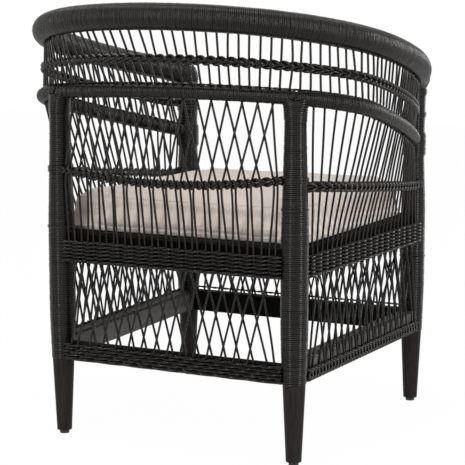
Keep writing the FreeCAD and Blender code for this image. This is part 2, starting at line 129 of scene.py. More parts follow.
# Canes of the weave
strand = 0.0021  # radius of the stakes and of the crossed canes
edge_gap = 0.003  # between the last cane of a panel and a leg
rest_gap = 0.0003  # between a cane and what it lies on
tuck = 0.004  # how far the ends of canes go behind a band or into a binding
stake_sink = 0.002  # how far the ends of canes go into a bound rail
plait_cane = 0.0029  # radius of the canes of the plaits
plait_climb = 0.0026  # how far they rise and fall as they twine
border_cane = 0.0034  # the same for the plaited border at the foot of the sides
border_climb = 0.0042
plait_core = 1.3  # radius of the core of a plait, in radii of its canes
row_spread = 0.85  # of the two rows of a plait from its middle, in radii of its canes
row_climb = 0.4  # and in their climb
plait_wander = 0.25  # chance in the turning of the canes of a plait
twine_cane = 0.0013  # radius of the twine along the mid rail
twine_pitch = 0.017
twine_depth = 0.0011  # how far it bends out and in
twine_lift = 0.0008  # how far it rises and falls
twine_height = 0.0010  # of its middle over the binding
twine_gap = 0.004  # between its ends and the front legs
twine_step = 0.003

# Arms, back and sides
arm_stake_pitch = 0.017
arm_stake_lean = 0.030  # most that the head of an arm stake is moved towards the arm
arm_lean_skew = 0.75  # brings the place of most lean nearer to the back
arm_hook = 140  # degrees that the foot of an arm stake is bent round the mid rail
hook_stand = 0.7  # share of its radius by which that hook stands off the rail
hook_lead = 0.004  # from the end of the hook to the straight part
upper_braid_level = 0.44
side_stake_count = 26
side_stake_margin = 0.031
side_braid_level = 0.44
side_plait_size = 1.1  # of its canes, against the other plaits
side_plait_rear = 0.012  # rear end of a side plait outside the axis of the leg
side_plait_front = (0.012, 0.017, 0.003)  # front end behind and outside that axis, and its rise
side_tie_length = 0.020  # of the coil that binds that end
side_tie_turns = 5.0
lattice_pitch = 0.027  # between crossed canes that lean the same way
back_lattice_run = 0.040  # how far a crossed cane moves sideways from head to foot
back_lattice_pair = 0.005  # half the distance between the heads of two that cross
back_braid_level = 0.465
back_braid_sag = 0.015
back_braid_bulge = 0.034  # of its middle behind the rear leg axes
back_braid_end = 0.019  # of its ends behind them
back_plait_end = (-0.006, 0.010)  # ends of the back plait from the axes of the rear legs
back_layer = 0.0035  # of the outer and the inner canes from the middle
layer_close = 0.4  # share of the room between the layers that is left at the plait
back_bow = (1, 0.2, 0)  # the canes of the back bow mostly sideways
stake_offset = 0.01775  # middle of the stakes outside the line between the legs
band_ease = 1.2  # how straight the stakes run up from the seat band, over their height
back_ease = 0.4  # how straight they leave the back plait
side_ease = 0.8  # how straight they meet the side plait

# Chance in the laying of canes
arm_play = 0.0009  # ends and middles of the arm stakes
hook_play = 0.0005
end_play = 0.0006  # ends of the canes at the mid rail
bow_play = 0.0008  # middles of those canes
back_lean_play = 0.006  # directions of the stakes of the back
side_lean_play = 0.003
skirt_bow_play = 0.0012
skirt_out_play = 0.0003
skirt_end_play = 0.0008
row_play = 0.00012

# Skirt, bands and boards
skirt_run = 0.046
skirt_pair = 0.0115
skirt_bow = 0.0018  # bow of the crossed canes towards the side that they lean to
strand_crowding = 0.007  # between the feet of canes that a leg turns aside
seat_band_rows = 6
row_height = 0.0068
skirt_foot_rows = 4  # height of the foot of the crossed canes, in rows
band_inset = 0.014  # of the ends of the woven bands from the leg axes
bottom_band_rows = 5  # at the front and the rear
fine_row_height = 0.0062
long_pitch = 0.031  # over which the canes of those rows change places
row_drift = 0.011  # of each of those rows against the one below
weaver = 0.0019  # radius of the canes of the bands
weave_depth = 0.0042  # how far they bend out and in
weaver_lift = 0.0010  # how far they rise and fall
weaver_stand = 0.8  # share of their radius by which they stand off the rail
weaver_step = 0.0032
row_wave = 0.0005  # height of the slow waves of a row
row_wave_rate = 55.0  # radians of those waves for each metre
row_wave_shift = 0.4  # from each row to the next
rim_cane = 0.0015  # radius of the canes along the edges of the bands and the boards
rim_depth = 0.0010  # how far they stand off a band, and bend out and in
rim_lift = 0.0007
board_rim_pitch = 0.0135
board_rim_depth = 0.8  # how far they bend out and in along a board, in radii of the cane
board_rim_lift = 0.6
front_rim_rise = 0.0055  # over the top of the front board
side_rim_rise = 0.001  # over the top of a side board, outside
side_rim_drop = 0.003  # under the top of a side board, inside
side_rim_size = 1.5  # of its canes, against the other rims

# Cushion
cushion_width = 0.496
cushion_thickness = 0.075
cushion_bottom = 0.3853
cushion_gap = 0.0025  # between the cushion and the legs
cushion_front = 0.020  # reach of its front edge past the front leg axes
slack_height = 0.064  # thickness before it is blown up
slack_inset = 0.005  # by which it is then smaller all round
mesh_cell = 0.006
air_pressure = 4.0
held_height = 0.004  # of the foot of the walls, held down with the underside
most_swell = 0.014  # most that a point may move
crease_depth = 0.0014
dent_depth = 0.0018
dent_rate = 9.0  # dents for each metre
crease_fade = 0.012  # height over which creases and dents come in
piping_radius = 0.0012
lower_seam = 0.008  # over the underside
upper_seam = 0.013  # under the top
zip_length = 0.380
zip_height = 0.017  # middle of the zip above the underside of the cushion
placket_width = 0.013
placket_fold = 0.0006  # half its thickness
stitches = 45  # in each of its two rows
stitch_radius = 0.0004
stitch_line = 0.35  # rows of stitches from the middle of the placket, in its widths

# Room
surround_light = 0.50  # light of the surround on the chair; the camera sees it as white
floor_glow = 0.98  # share of the floor that is shown plain white, without its shadow
floor_reach = 8.0
lamp_aim = (0.0, 0.0, 0.4)

# Camera
camera_target = (0.0, -0.0226, 0.3689)
camera_distance = 2.971
camera_azimuth = 206.863
camera_elevation = 8.057
camera_lens = 119.04
camera_sensor = 36.0

# Places that follow from the sizes
total_depth = belly_radius + leg_depth + top_overhang + top_radius
front_leg_y = belly_radius - total_depth / 2
rear_leg_y = front_leg_y + leg_depth
top_back_y = rear_leg_y + top_overhang
mid_height = top_height - mid_drop
seat_band_top = seat_rail_bottom + row_height * seat_band_rows
skirt_foot = binding_start + row_height * skirt_foot_rows
bottom_rail_top = binding_start + bottom_rail_height
back_braid_height = seat_band_top + (mid_height - seat_band_top) * back_braid_level
front_leg = np.array((front_leg_x, front_leg_y, 0.0))
rear_leg = np.array((rear_leg_x, rear_leg_y, 0.0))
cushion_rear_y = rear_leg_y - belly_radius - cushion_gap


def unit(vectors):
    """The same directions with length one."""
    return vectors / np.linalg.norm(vectors, axis=-1, keepdims=True)


def opposite(points):
    """The same points on the other side of the chair."""
    return np.asarray(points) * (-1.0, 1.0, 1.0)


def travel_along(points):
    """Distance of each point from the first, along the points."""
    steps = np.linalg.norm(np.diff(points, axis=0), axis=1)
    return np.concatenate(([0.0], np.cumsum(steps)))


def points_between(places, marks, points):
    """Points at some places on a line whose points are at given marks."""
    return np.column_stack([np.interp(places, marks, column) for column in points.T])


# Lines of the two hoops

class Hoop:
    """Half a horseshoe of three tangent arcs; negative distances run along its mirror image."""

    def __init__(self, back_y, back_z, slope, back_radius, headings, end):
        self.origin = np.array((0.0, back_y, back_z))
        tilt = math.atan(slope)
        self.forward = np.array((0.0, -math.cos(tilt), -math.sin(tilt)))
        first, second, third = [math.radians(angle) for angle in headings]
        across = end[0] - back_radius * math.sin(first)
        ahead = (back_y - end[1]) / math.cos(tilt) - back_radius * (1 - math.cos(first))
        corner = (math.sin(second) - math.sin(first), math.cos(first) - math.cos(second))
        side = (math.sin(third) - math.sin(second), math.cos(second) - math.cos(third))
        scale = corner[0] * side[1] - corner[1] * side[0]
        corner_radius = (across * side[1] - ahead * side[0]) / scale
        side_radius = (corner[0] * ahead - corner[1] * across) / scale
        self.arcs = [(back_radius, first), (corner_radius, second - first), (side_radius, third - second)]
        self.length = sum(radius * turn for radius, turn in self.arcs)

    def at(self, distance):
        """Point and heading at a distance from the middle of the back."""
        side = math.copysign(1.0, distance)
        left = abs(distance)
        heading = 0.0
        point = self.origin
        for radius, turn in self.arcs:
            step = min(left, radius * turn)
            after = heading + step / radius
            ahead = radius * (math.cos(heading) - math.cos(after))
            point = point + self.forward * ahead + (radius * (math.sin(after) - math.sin(heading)), 0, 0)
            heading = after
            left -= step
        way = self.forward * math.sin(heading) + (math.cos(heading), 0, 0)
        return point * (side, 1, 1), way * (1, side, side)

    def at_x(self, x):
        """Point and heading of the back arc at a given X on either side."""
        radius = self.arcs[0][0]
        return self.at(radius * math.asin(x / radius))

    def points(self, start, end, step):
        """Points along the hoop, about a step apart."""
        count = int(abs(end - start) / step) + 2
        return np.array([self.at(distance)[0] for distance in np.linspace(start, end, count)])


class Line:
    """Centre line of a pole, with a sideways direction all along it."""

    def __init__(self, points, sideways=None):
        self.points = np.asarray(points, float)
        self.travel = travel_along(self.points)
        self.length = self.travel[-1]
        self.tangents = unit(np.gradient(self.points, self.travel, axis=0))
        flat = np.cross(UP, self.tangents) if sideways is None else np.tile(sideways, (len(points), 1))
        self.sideways = unit(flat)

    def turned(self, distances, turns):
        """Points and tangents at some distances, and the directions out of the pole after so many turns."""
        lines = (self.points, self.tangents, self.sideways)
        centre, tangent, sideways = [points_between(distances, self.travel, line) for line in lines]
        angle = (2 * math.pi * turns)[:, None]
        return centre, tangent, sideways * np.cos(angle) + np.cross(tangent, sideways) * np.sin(angle)


def arm_end():
    """Place over the arm where the top rail starts to bend down, and the turn and drop of that bend."""
    tilt = math.atan(top_slope)
    heading = math.radians(top_headings[2])
    fall = math.asin(math.sin(heading) * math.sin(tilt))
    way = unit(np.array((math.cos(heading), -math.sin(heading) * math.cos(tilt), 0.0)))
    place = front_leg - way * arm_bend * (1 - math.sin(fall))
    return place, math.pi / 2 - fall, arm_bend * math.cos(fall)


arm_place, arm_turn, arm_drop = arm_end()
top_hoop = Hoop(top_back_y, top_height, top_slope, top_back_radius, top_headings, arm_place)
front_leg_top = top_hoop.at(top_hoop.length)[0][2] - arm_drop

post_heading = math.asin(rear_leg_x / mid_back_radius)
mid_overhang = mid_back_radius * (1 - math.cos(post_heading)) * math.cos(math.atan(mid_slope))
mid_hoop = Hoop(rear_leg_y + mid_overhang, mid_height, mid_slope, mid_back_radius,
                (math.degrees(post_heading),) + mid_headings, front_leg)
post_distance = mid_back_radius * post_heading
post_rail_height = mid_hoop.at(post_distance)[0][2]
rear_leg_top = post_rail_height - mid_radius + saddle_depth


def top_line():
    """Line of the whole top rail, from the top of one front leg to the other."""
    hoop = top_hoop.points(0.0, top_hoop.length, line_step)
    corner, heading = top_hoop.at(top_hoop.length)
    axis = unit(np.cross(heading, -UP))
    inward = np.cross(axis, heading)
    bend = []
    for angle in np.linspace(0, arm_turn, bend_steps + 1)[1:]:
        bend.append(corner + (heading * math.sin(angle) + inward * (1 - math.cos(angle))) * arm_bend)
    half = np.concatenate((hoop, bend))
    return Line(np.concatenate((opposite(half[:0:-1]), half)))


# Finishes: materials made of nodes

class Value:
    """Output of a node; arithmetic on it adds Math nodes."""

    def __init__(self, nodes, socket):
        self.nodes = nodes
        self.socket = socket

    def math(self, operation, first, second):
        """Result of a Math node."""
        return self.nodes.node("ShaderNodeMath", {"operation": operation}, {0: first, 1: second})

    def __add__(self, other):
        return self.math("ADD", self, other)

    def __radd__(self, other):
        return self.math("ADD", other, self)

    def __sub__(self, other):
        return self.math("SUBTRACT", self, other)

    def __rsub__(self, other):
        return self.math("SUBTRACT", other, self)

    def __mul__(self, other):
        return self.math("MULTIPLY", self, other)

    def __rmul__(self, other):
        return self.math("MULTIPLY", other, self)

    def sine(self):
        """Sine of the value."""
        return self.math("SINE", self, 0.0)

    def between(self, low, high):
        """The value's place between two others, from 0 to 1."""
        return self.nodes.node("ShaderNodeMapRange", {"clamp": True}, {0: self, 1: low, 2: high})


class Nodes:
    """Node tree and the one way to add a node to it."""

    def __init__(self, tree):
        self.tree = tree

    def join(self, socket, value):
        """Set a socket to a value or link it to a node's output."""
        if isinstance(value, Value):
            self.tree.links.new(value.socket, socket)
        else:
            socket.default_value = value

    def node(self, kind, settings, inputs, output=0):
        """Add a node: its settings first, then the values or links of its sockets."""
        made = self.tree.nodes.new(kind)
        for name, setting in settings.items():
            setattr(made, name, setting)
        for socket, value in inputs.items():
            self.join(made.inputs[socket], value)
        return Value(self, made.outputs[output])

    def seen(self):
        """1 for the rays that show a surface straight, in a reflection or through glass."""
        shown = self.node("ShaderNodeLightPath", {}, {}, "Is Camera Ray")
        outputs = shown.socket.node.outputs
        for name in ("Is Glossy Ray", "Is Transmission Ray"):
            shown = shown.math("MAXIMUM", shown, Value(self, outputs[name]))
        return shown


class Finish(Nodes):
    """One material and the nodes that make it."""

    def __init__(self, name):
        self.material = bpy.data.materials.new(name)
        self.material.use_nodes = True
        super().__init__(self.material.node_tree)
        self.shader = self.tree.nodes["Principled BSDF"]

    def shade(self, **inputs):
        """Set or link sockets of the shader; an underscore stands for a space."""
        for name, value in inputs.items():
            self.join(self.shader.inputs[name.replace("_", " ")], value)
        return self.material

    def place(self, scale):
        """Position on the object, stretched along each axis."""
        position = self.node("ShaderNodeTexCoord", {}, {}, "Object")
        return self.node("ShaderNodeVectorMath", {"operation": "MULTIPLY"}, {0: position, 1: scale})

    def axes(self, vector):
        """The three parts of a vector."""
        split = self.node("ShaderNodeSeparateXYZ", {}, {0: vector})
        return [Value(self, output) for output in split.socket.node.outputs]

    def speckle(self, vector, scale, detail=2.0):
        """Soft random pattern."""
        sockets = {"Vector": vector, "Scale": scale, "Detail": detail}
        return self.node("ShaderNodeTexNoise", {}, sockets, "Fac")

    def mix(self, share, first, second):
        """Colour between two others."""
        settings = {"data_type": "RGBA"}
        return self.node("ShaderNodeMix", settings, {"Factor": share, 6: first, 7: second}, 2)

    def bump(self, height, distance, strength):
        """Surface normal of fine relief."""
        sockets = {"Height": height, "Distance": distance, "Strength": strength}
        return self.node("ShaderNodeBump", {}, sockets)


def cane_finish():
    """Rattan stained black, with a tone that changes from cane to cane, worn spots and a soft shine."""
    dark = (0.0028, 0.0024, 0.0022, 1)
    light = (0.0110, 0.0091, 0.0081, 1)
    worn = (0.018, 0.0142, 0.0120, 1)
    cane = Finish("black_stained_cane")
    grain = cane.node("ShaderNodeAttribute", {"attribute_name": "grain"}, {}, "Vector")
    along, around, tone = cane.axes(grain)
    fibre_place = cane.node("ShaderNodeCombineXYZ", {}, {0: along * 30.0, 1: around * 5.0, 2: tone * 40.0})
    fibre = cane.speckle(fibre_place, scale=3.0, detail=3.0)
    wear = cane.speckle(cane.place((1, 1, 1)), scale=38.0, detail=3.0).between(0.35, 0.75)
    share = (tone * 0.55 + fibre * 0.45).between(0.2, 0.85)
    colour = cane.mix(wear * 0.35, cane.mix(share, dark, light), worn)
    relief = cane.bump(fibre, distance=0.0004, strength=0.35)
    cane.shade(Specular_IOR_Level=0.24)
    return cane.shade(Base_Color=colour, Roughness=0.13 + fibre * 0.10 + wear * 0.05, Normal=relief)


def wood_finish(name, stretch, dark, light, rough, shine=0.09):
    """Stained wood with its grain along one direction."""
    wood = Finish(name)
    warp = wood.speckle(wood.place(stretch), scale=1.0, detail=4.0)
    fine = tuple(6 * part for part in stretch)
    pores = wood.speckle(wood.place(fine), scale=1.0).between(0.45, 0.62)
    share = (warp * 0.8 + pores * 0.2).between(0.3, 0.75)
    colour = wood.mix(share, dark, light)
    relief = wood.bump(pores, distance=0.0003, strength=0.25)
    wood.shade(Specular_IOR_Level=shine)
    return wood.shade(Base_Color=colour, Roughness=rough + warp * 0.16, Normal=relief)


def linen_finish():
    """Plain woven natural linen with slubs."""
    dim = (0.66, 0.572, 0.507, 1)
    pale = (0.77, 0.69, 0.63, 1)
    clouded = (0.71, 0.618, 0.552, 1)
    thread_rate = 5200.0  # radians of the weave for each metre
    linen = Finish("cream_linen")
    position = linen.node("ShaderNodeTexCoord", {}, {}, "Object")
    wave_x, wave_y, wave_z = [(part * thread_rate).sine() for part in linen.axes(position)]
    face = linen.node("ShaderNodeNewGeometry", {}, {}, "Normal")
    side, back, top = [part * part for part in linen.axes(face)]
    weave = top * (wave_x * wave_y) + back * (wave_x * wave_z) + side * (wave_y * wave_z)
    slub_x = linen.speckle(linen.place((40, 700, 700)), scale=1.0)
    slub_z = linen.speckle(linen.place((700, 700, 40)), scale=1.0)
    slub = (slub_x * 0.5 + slub_z * 0.5).between(0.38, 0.68)
    cloud = linen.speckle(linen.place((1, 1, 1)), scale=14.0, detail=3.0).between(0.3, 0.7)
    colour = linen.mix(cloud * 0.4, linen.mix(slub, dim, pale), clouded)
    relief = linen.bump(weave * 0.25 + slub * 0.6, distance=0.0005, strength=0.45)
    linen.shade(Specular_IOR_Level=0.2, Sheen_Weight=0.15, Sheen_Roughness=0.6)
    return linen.shade(Base_Color=colour, Roughness=0.86 + slub * 0.1, Normal=relief)


def plain_finish(name, colour, worn, rough):
    """One colour with fine scuffs."""
    fitting = Finish(name)
    scuff = fitting.speckle(fitting.place((1, 1, 1)), scale=260.0, detail=3.0).between(0.4, 0.7)
    tint = fitting.mix(scuff * 0.6, colour, worn)
    return fitting.shade(Base_Color=tint, Roughness=rough + scuff * 0.15)


black_cane = cane_finish()
pole_wood = wood_finish("dark_pole", stretch=(60, 60, 60), dark=(0.010, 0.009, 0.008, 1),
                        light=(0.022, 0.019, 0.017, 1), rough=0.5)
leg_wood = wood_finish("leg_wood", stretch=(90, 90, 7), dark=(0.009, 0.0073, 0.0067, 1),
                       light=(0.025, 0.020, 0.0178, 1), rough=0.42)
# Painted shade: the boards across the front and the rear and the seat cleats are the same wood as the side
# boards, painted near black for the shade they stand in.
shaded_board_wood = wood_finish("board_across_painted_shade", stretch=(7, 90, 90), dark=(0.0016, 0.0015, 0.0014, 1),
                         light=(0.006, 0.0054, 0.005, 1), rough=0.5, shine=0.03)
# Painted light: the side boards and the seat slats are the same wood as the boards across, painted grey for
# the light that falls on the inner faces of the side boards.
lit_board_wood = wood_finish("board_fore_and_aft_painted_light", stretch=(90, 7, 90), dark=(0.058, 0.054, 0.052, 1),
                        light=(0.127, 0.118, 0.113, 1), rough=0.4, shine=0.14)
# Painted shade: the seat rails are painted near black for the shade between the seat band and the cushion.
shaded_rail_wood = wood_finish("seat_rail_painted_shade", stretch=(20, 20, 90), dark=(0.0016, 0.0015, 0.0014, 1),
                        light=(0.0045, 0.004, 0.0037, 1), rough=0.6, shine=0.02)
seat_cane = wood_finish("seat_cane", stretch=(9, 160, 160), dark=(0.009, 0.008, 0.0075, 1),
                        light=(0.026, 0.022, 0.019, 1), rough=0.38)
linen = linen_finish()
thread = plain_finish("stitching_thread", colour=(0.62, 0.54, 0.47, 1),
                      worn=(0.72, 0.64, 0.57, 1), rough=0.75)
glide = plain_finish("foot_glide", colour=(0.006, 0.006, 0.006, 1),
                     worn=(0.016, 0.015, 0.014, 1), rough=0.45)


# Meshes of swept canes

def round_section(radius, sides=8):
    """Round cross-section of a cane."""
    angles = np.arange(sides) * (2 * math.pi / sides)
    return np.column_stack((np.cos(angles), np.sin(angles))) * radius


flat_section = np.array(((-1.0, -0.9), (1.0, -0.9), (0.94, 0.25), (0.6, 0.85), (0.0, 1.0), (-0.6, 0.85),
                         (-0.94, 0.25)))
flat_section = flat_section * (wrap_pitch / 2, wrap_thickness / 2)


class Cane:
    """Mesh of canes, with the place along, round and among the canes kept for its finish."""

    def __init__(self):
        self.points = []
        self.faces = []
        self.grain = []
        self.size = 0

    def sweep(self, path, section, outward, tone=None):
        """Cane along a path; the second axis of its section keeps to a direction."""
        count = len(path)
        sides = len(section)
        tangents = unit(np.gradient(path, axis=0))
        across = unit(np.cross(tangents, outward))
        out = np.cross(across, tangents)
        rings = path[:, None] + across[:, None] * section[:, :1] + out[:, None] * section[:, 1:]
        index = np.arange(count * sides).reshape(count, sides) + self.size
        after = np.roll(index, -1, axis=1)
        walls = np.stack((index[:-1], index[1:], after[1:], after[:-1]), axis=-1)
        self.faces.extend(walls.reshape(-1, 4).tolist())
        self.faces.append(index[0].tolist())
        self.faces.append(index[-1][::-1].tolist())
        self.points.append(rings.reshape(-1, 3))
        tones = np.full(count, chance.random()) if tone is None else tone
        grain = np.empty((count, sides, 3))
        grain[:, :, 0] = travel_along(path)[:, None]
        grain[:, :, 1] = np.arange(sides) / sides
        grain[:, :, 2] = tones[:, None]
        self.grain.append(grain.reshape(-1, 3))
        self.size += count * sides

    def mirror(self):
        """The same canes on the other side of the chair."""
        other = Cane()
        other.points = [opposite(points) for points in self.points]
        other.faces = [face[::-1] for face in self.faces]
        other.grain = self.grain
        other.size = self.size
        return other

    def piece(self, name, *nodes, finish=None, slot="black_cane", body="frame"):
        """Finished piece that stands for some nodes of the frame."""
        mesh = bpy.data.meshes.new(name)
        mesh.from_pydata(np.concatenate(self.points).tolist(), [], self.faces)
        grain = mesh.attributes.new("grain", "FLOAT_VECTOR", "POINT")
        grain.data.foreach_set("vector", np.concatenate(self.grain).ravel())
        mesh.shade_smooth()
        return add_piece(name, mesh, finish or black_cane, slot, body, *nodes)

    def pair(self, name, *nodes):
        """The piece on the left and its mirror image on the right."""
        for cane, hand in ((self, "_left"), (self.mirror(), "_right")):
            cane.piece(name + hand, *[node + hand for node in nodes])


def add_object(name, data):
    """New object in the scene."""
    made = bpy.data.objects.new(name, data)
    bpy.context.scene.collection.objects.link(made)
    return made


def add_piece(name, mesh, finish, slot, body, *nodes):
    """Object on a body of the frame that takes the place of some nodes."""
    piece = add_object(name, mesh)
    mesh.materials.clear()
    mesh.materials.append(finish)
    if nodes:
        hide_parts(*nodes)
    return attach(piece, body)


def smooth(values, reach=2):
    """Running mean."""
    padded = np.pad(values, reach, mode="edge")
    return np.convolve(padded, np.ones(2 * reach + 1) / (2 * reach + 1), mode="valid")


def wind(cane, line, start, end, radius, sides):
    """One flat cane wound turn against turn round a pole; radius is its outside at each distance."""
    turns = round((end - start) / wrap_pitch)
    share = np.linspace(0.0, 1.0, turns * sides + 1)
    turn = share * turns
    marks = np.arange(turns + 1)
    slip = np.interp(turn, marks, chance.normal(0.0, turn_slip, turns + 1))
    swell = np.interp(turn, marks, chance.normal(0.0, turn_swell, turns + 1))
    tone = np.interp(turn, marks, chance.random(turns + 1))
    distance = start + (end - start) * share
    centre, tangent, radial = line.turned(distance, turn)
    outside = radius(distance) - wrap_thickness / 2 + swell
    path = centre + radial * outside[:, None] + tangent * slip[:, None]
    cane.sweep(path, flat_section, radial, tone)


def coil(cane, line, start, end, radius, thickness, turns, sides=20):
    """Few turns of round cane over a binding."""
    share = np.linspace(0.0, 1.0, int(turns * sides) + 1)
    centre, _, radial = line.turned(start + (end - start) * share, turns * share)
    cane.sweep(centre + radial * (radius + thickness * coil_stand), round_section(thickness), radial)


def bowed(start, end, bow, count=12):
    """Nearly straight path from point to point."""
    share = np.linspace(0.0, 1.0, count)[:, None]
    return start + (end - start) * share + bow * np.sin(math.pi * share)


def eased(start, leave, end, arrive, count=14):
    """Path that leaves and arrives in given directions."""
    share = np.linspace(0.0, 1.0, count)[:, None]
    rest = 1.0 - share
    near = start + leave / 3
    far = end - arrive / 3
    return start * rest ** 3 + 3 * near * rest ** 2 * share + 3 * far * rest * share ** 2 + end * share ** 3


def jitter(size):
    """Small random offset of a hand-laid cane."""
    return chance.normal(0.0, size, 3)


# Bindings

rail_end_height = mid_hoop.at(mid_hoop.length)[0][2]


def front_radius(heights):
    """Outside radius of a bound front leg: belly, neck, swelling round the end of the mid rail, top."""
    low = rail_end_height - swelling_below
    high = rail_end_height + swelling_above
    marks = (binding_start, belly_low, belly_high, low - swelling_foot, low, high, high + swelling_head,
             front_leg_top)
    radii = (ankle_radius, belly_radius, belly_radius, under_swelling, swelling_radius, swelling_radius,
             over_swelling, arm_end_radius)
    return np.interp(heights, marks, radii)


def rear_radius(heights):
    """Outside radius of a bound rear leg: belly and neck."""
    marks = (binding_start, belly_low, belly_high, rear_leg_top - neck_drop, rear_leg_top)
    radii = (ankle_radius, belly_radius, belly_radius, neck_radius, post_radius)
    return np.interp(heights, marks, radii)


def leg_line(place, top):
    """Upright line of a leg."""
    return Line((place, place + UP * top), (1, 0, 0))


def build_leg_wraps():
    """Cane wound round each leg, with a thicker turn where a new length starts."""
    legs = (("front", front_leg, front_leg_top, front_radius, front_joins),
            ("rear", rear_leg, rear_leg_top, rear_radius, rear_joins))
    for name, place, top, outside, joins in legs:
        for hand, centre, join in (("left", place, joins[0]), ("right", opposite(place), joins[1])):
            cane = Cane()
            line = leg_line(centre, top)
            wind(cane, line, binding_start, top, outside, sides=20)
            coil(cane, line, join, join + join_rise, float(outside(join)) - join_sink, join_cane, join_turns)
            cane.piece(f"leg_wrap_{name}_{hand}", f"leg_binding_{name}_{hand}")


def build_ties():
    """Turns of cane that tie the ends of the plaits to the legs, and the collars under the arms."""
    upper = rail_end_height + (front_leg_top - rail_end_height) * upper_tie_level
    tied_legs = ((front_leg, front_leg_top, front_radius, upper),
                 (rear_leg, rear_leg_top, rear_radius, back_braid_height))
    ties = Cane()
    for place, top, outside, level in tied_legs:
        radius = float(outside(level)) - tie_sink
        coil(ties, leg_line(place, top), level - tie_below, level + tie_above, radius, tie_cane, tie_turns)
    collars = Cane()
    line = leg_line(front_leg, front_leg_top)
    coil(collars, line, front_leg_top - collar_below, front_leg_top - collar_gap,
         arm_end_radius - collar_sink, tie_cane, collar_turns)
    ties.pair("plait_ties")
    collars.pair("arm_collars")


def build_top_wrap():
    """Cane wound round the top rail, thick at the bends of the arms and thin at the front legs."""
    cane = Cane()
    line = top_line()

    def outside(distance):
        from_end = np.minimum(distance, line.length - distance)
        return np.interp(from_end, knuckle_places, knuckle_radii)

    wind(cane, line, 0.0, line.length, outside, sides=22)
    cane.piece("top_rail_wrap", "top_rail_binding")


def build_mid_wrap():
    """Cane wound round the mid rail in three lengths that meet at the rear legs."""
    cane = Cane()
    reach = mid_hoop.length - neck_radius * rail_wrap_end
    near = post_distance - rail_wrap_gap
    far = post_distance + rail_wrap_gap
    lengths = ((-reach, -far, side_wrap_rise), (-near, near, back_wrap_rise), (far, reach, side_wrap_rise))
    for start, end, rise in lengths:
        line = Line(mid_hoop.points(start, end, line_step))
        outside = mid_radius + rise
        wind(cane, line, 0.0, line.length, lambda distance: np.full_like(distance, outside), sides=16)
    cane.piece("mid_rail_wrap", "mid_rail_binding")


def build_shoulders():
    """Turns of cane that widen from the top of each rear leg into the mid rail."""
    point, along = mid_hoop.at(post_distance)
    across = unit(np.cross(UP, along))
    turns = round(shoulder_drop / wrap_pitch)
    sides = 28
    turn = np.linspace(0.0, turns, turns * sides + 1)
    share = turn / turns
    angle = 2 * math.pi * turn
    level = point[2] - shoulder_drop - shoulder_gap + shoulder_drop * share
    spread = post_radius + shoulder_ease + shoulder_spread * share ** 2
    depth = post_radius + shoulder_ease - shoulder_pinch * share ** 2
    climb = shoulder_climb * share ** 2 * np.abs(np.cos(angle)) ** 1.5
    radial = np.outer(np.cos(angle), along * (1, 1, 0)) + np.outer(np.sin(angle), across)
    path = np.outer(np.cos(angle) * spread, along) + np.outer(np.sin(angle) * depth, across)
    path = path + rear_leg + np.outer(level + climb, UP)
    cane = Cane()
    tone = np.interp(turn, np.arange(turns + 1), chance.random(turns + 1))
    cane.sweep(path, flat_section, unit(radial), tone)
    cane.pair("post_shoulder")


def build_rail_twine():
    """Thin twisted pair along the top of the mid rail that holds the feet of the arm stakes."""
    cane = Cane()
    reach = mid_hoop.length - neck_radius - twine_gap
    points = mid_hoop.points(-reach, reach, twine_step)
    line = Line(points)
    rise = unit(np.cross(line.tangents, line.sideways))
    rise = rise * np.sign(rise[:, 2:])
    path = points + rise * (mid_radius + twine_height)
    twist(cane, path, rise, twine_pitch, twine_depth, twine_lift, twine_cane)
    cane.piece("mid_rail_twine")


# Weave

def twist(cane, path, up, pitch, depth, lift, radius, start=0.0):
    """Two canes that twine round each other along a path and change places once in every pitch."""
    line = Line(path)
    out = np.cross(line.tangents, up)
    angle = math.pi * (line.travel - start) / pitch
    for half in (0.0, math.pi):
        inward = (depth * np.cos(angle + half))[:, None]
        climb = (lift * np.sin(angle + half))[:, None]
        cane.sweep(path + out * inward + up * climb, round_section(radius, sides=6), up)


def row_offset(radius, climb):
    """From the middle of a plait to the middle of each of its two rows."""
    return radius * row_spread + climb * row_climb


def plait(cane, points, ways, core, radius, climb, hand, steps=12):
    """Two rows of twined canes that slant against each other on a line of stakes."""
    points = np.asarray(points)
    ways = np.asarray(ways)
    stakes = np.arange(len(points))
    place = np.linspace(0, len(points) - 1, (len(points) - 1) * steps + 1)
    line = points_between(place, stakes, points)
    line = np.column_stack([smooth(column, steps // 2) for column in line.T])
    way = points_between(place, stakes, ways)
    out = unit(np.cross(way, unit(np.gradient(line, axis=0))))
    lift = unit(np.cross(np.gradient(line, axis=0), out))
    cane.sweep(line, round_section(radius * plait_core), lift)
    for row in (-1, 1):
        middle = line + lift * row * row_offset(radius, climb)
        wander = smooth(chance.normal(0.0, plait_wander, len(place)), steps)
        for member in range(2):
            angle = math.pi * (place + member) + wander
            depth = ((core + radius) * np.cos(angle))[:, None]
            height = (hand * row * climb * np.sin(angle))[:, None]
            cane.sweep(middle + out * depth + lift * height, round_section(radius), lift)


